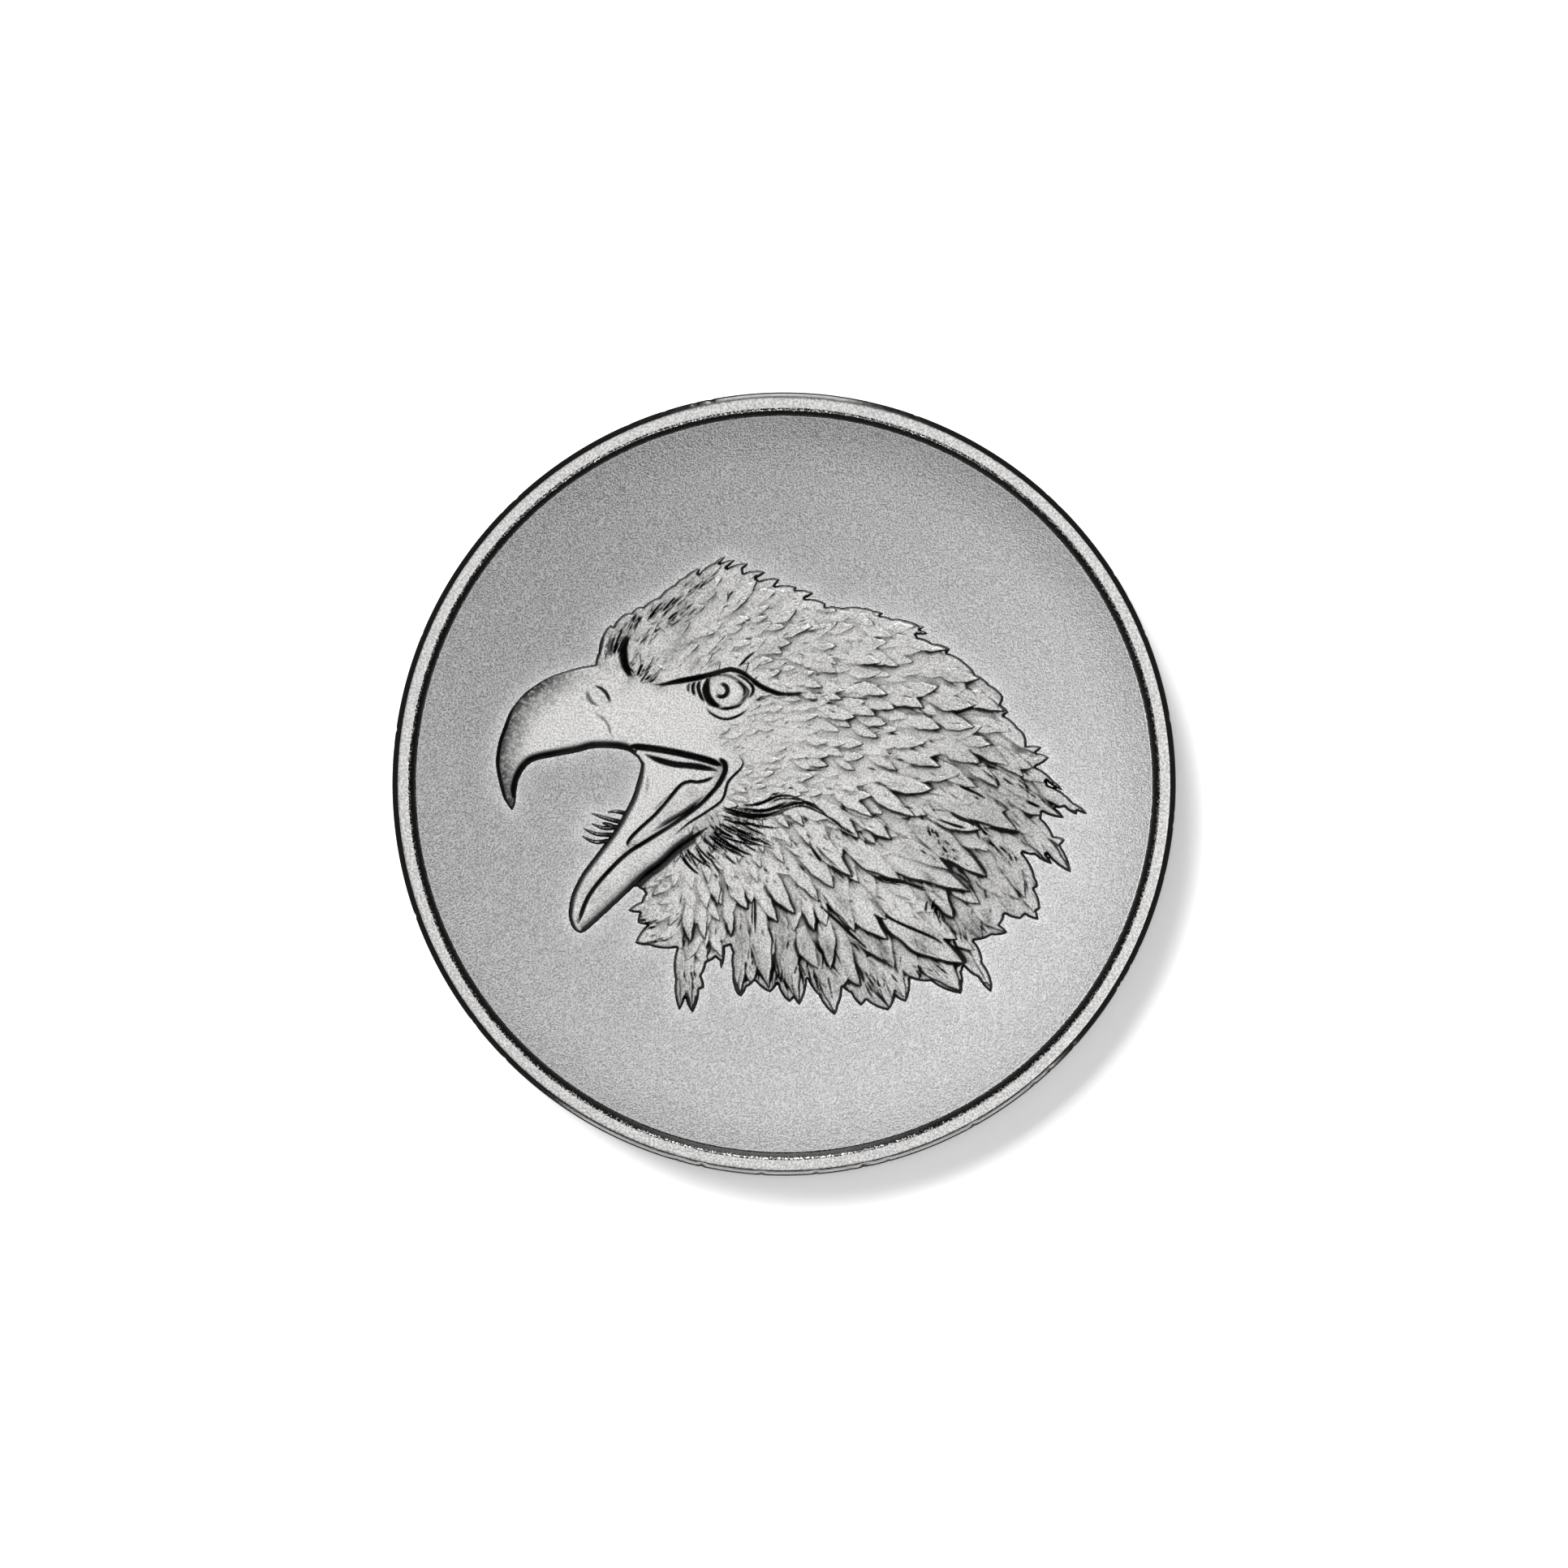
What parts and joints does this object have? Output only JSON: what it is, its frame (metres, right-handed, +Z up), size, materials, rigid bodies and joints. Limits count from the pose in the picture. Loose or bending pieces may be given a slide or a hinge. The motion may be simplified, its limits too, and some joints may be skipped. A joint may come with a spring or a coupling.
{
  "type": "challenge coin",
  "caption": "Round commemorative coin with a raised rim, a dished frosted field and a high-relief eagle head on its face, and a star in a wreath on the back.",
  "frame": {"origin": "centre of the plane that the reverse rim rests on", "axes": "+Z up out of the eagle side, +Y to the top of the eagle's head, +X to its right; the beak points to -X"},
  "size_m": [0.04, 0.04, 0.0035],
  "materials": {
    "rim": "silver plated, satin flat, polished edge",
    "field": "silver plated, frosted",
    "relief": "silver plated, sandblasted, dark in the recesses",
    "rivet": "plain",
    "reverse": "silver plated, frosted, dark in the recesses"
  },
  "bodies": {
    "root": {"rim_ring": "rim", "core_disc": "field", "eagle_head": "relief", "head_rivets": "rivet", "reverse_disc": "reverse"}
  },
  "joints": []
}
